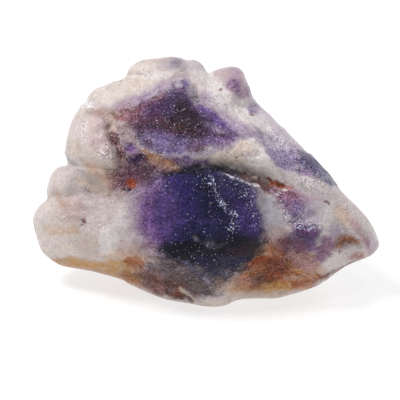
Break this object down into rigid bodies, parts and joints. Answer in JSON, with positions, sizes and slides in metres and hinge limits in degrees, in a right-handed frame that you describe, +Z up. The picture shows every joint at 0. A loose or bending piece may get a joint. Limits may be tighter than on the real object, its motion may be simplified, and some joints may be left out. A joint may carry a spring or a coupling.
{
  "type": "rough amethyst stone",
  "caption": "Palm-sized rough stone of purple and milky quartz grown together, lumpy and broken, with a small flat face it rests on.",
  "frame": {"origin": "a point inside the small flat face the stone rests on, near its middle", "axes": "+Z up, away from the flat face; +X along the stone's length towards its pointed end; the purple face looks towards -Y and up"},
  "size_m": [0.0692, 0.0393, 0.0407],
  "materials": {
    "amethyst": "broken quartz, slightly glossy, milky white to deep violet with rust stains"
  },
  "bodies": {
    "root": {"amethyst_stone": "amethyst"}
  },
  "joints": []
}
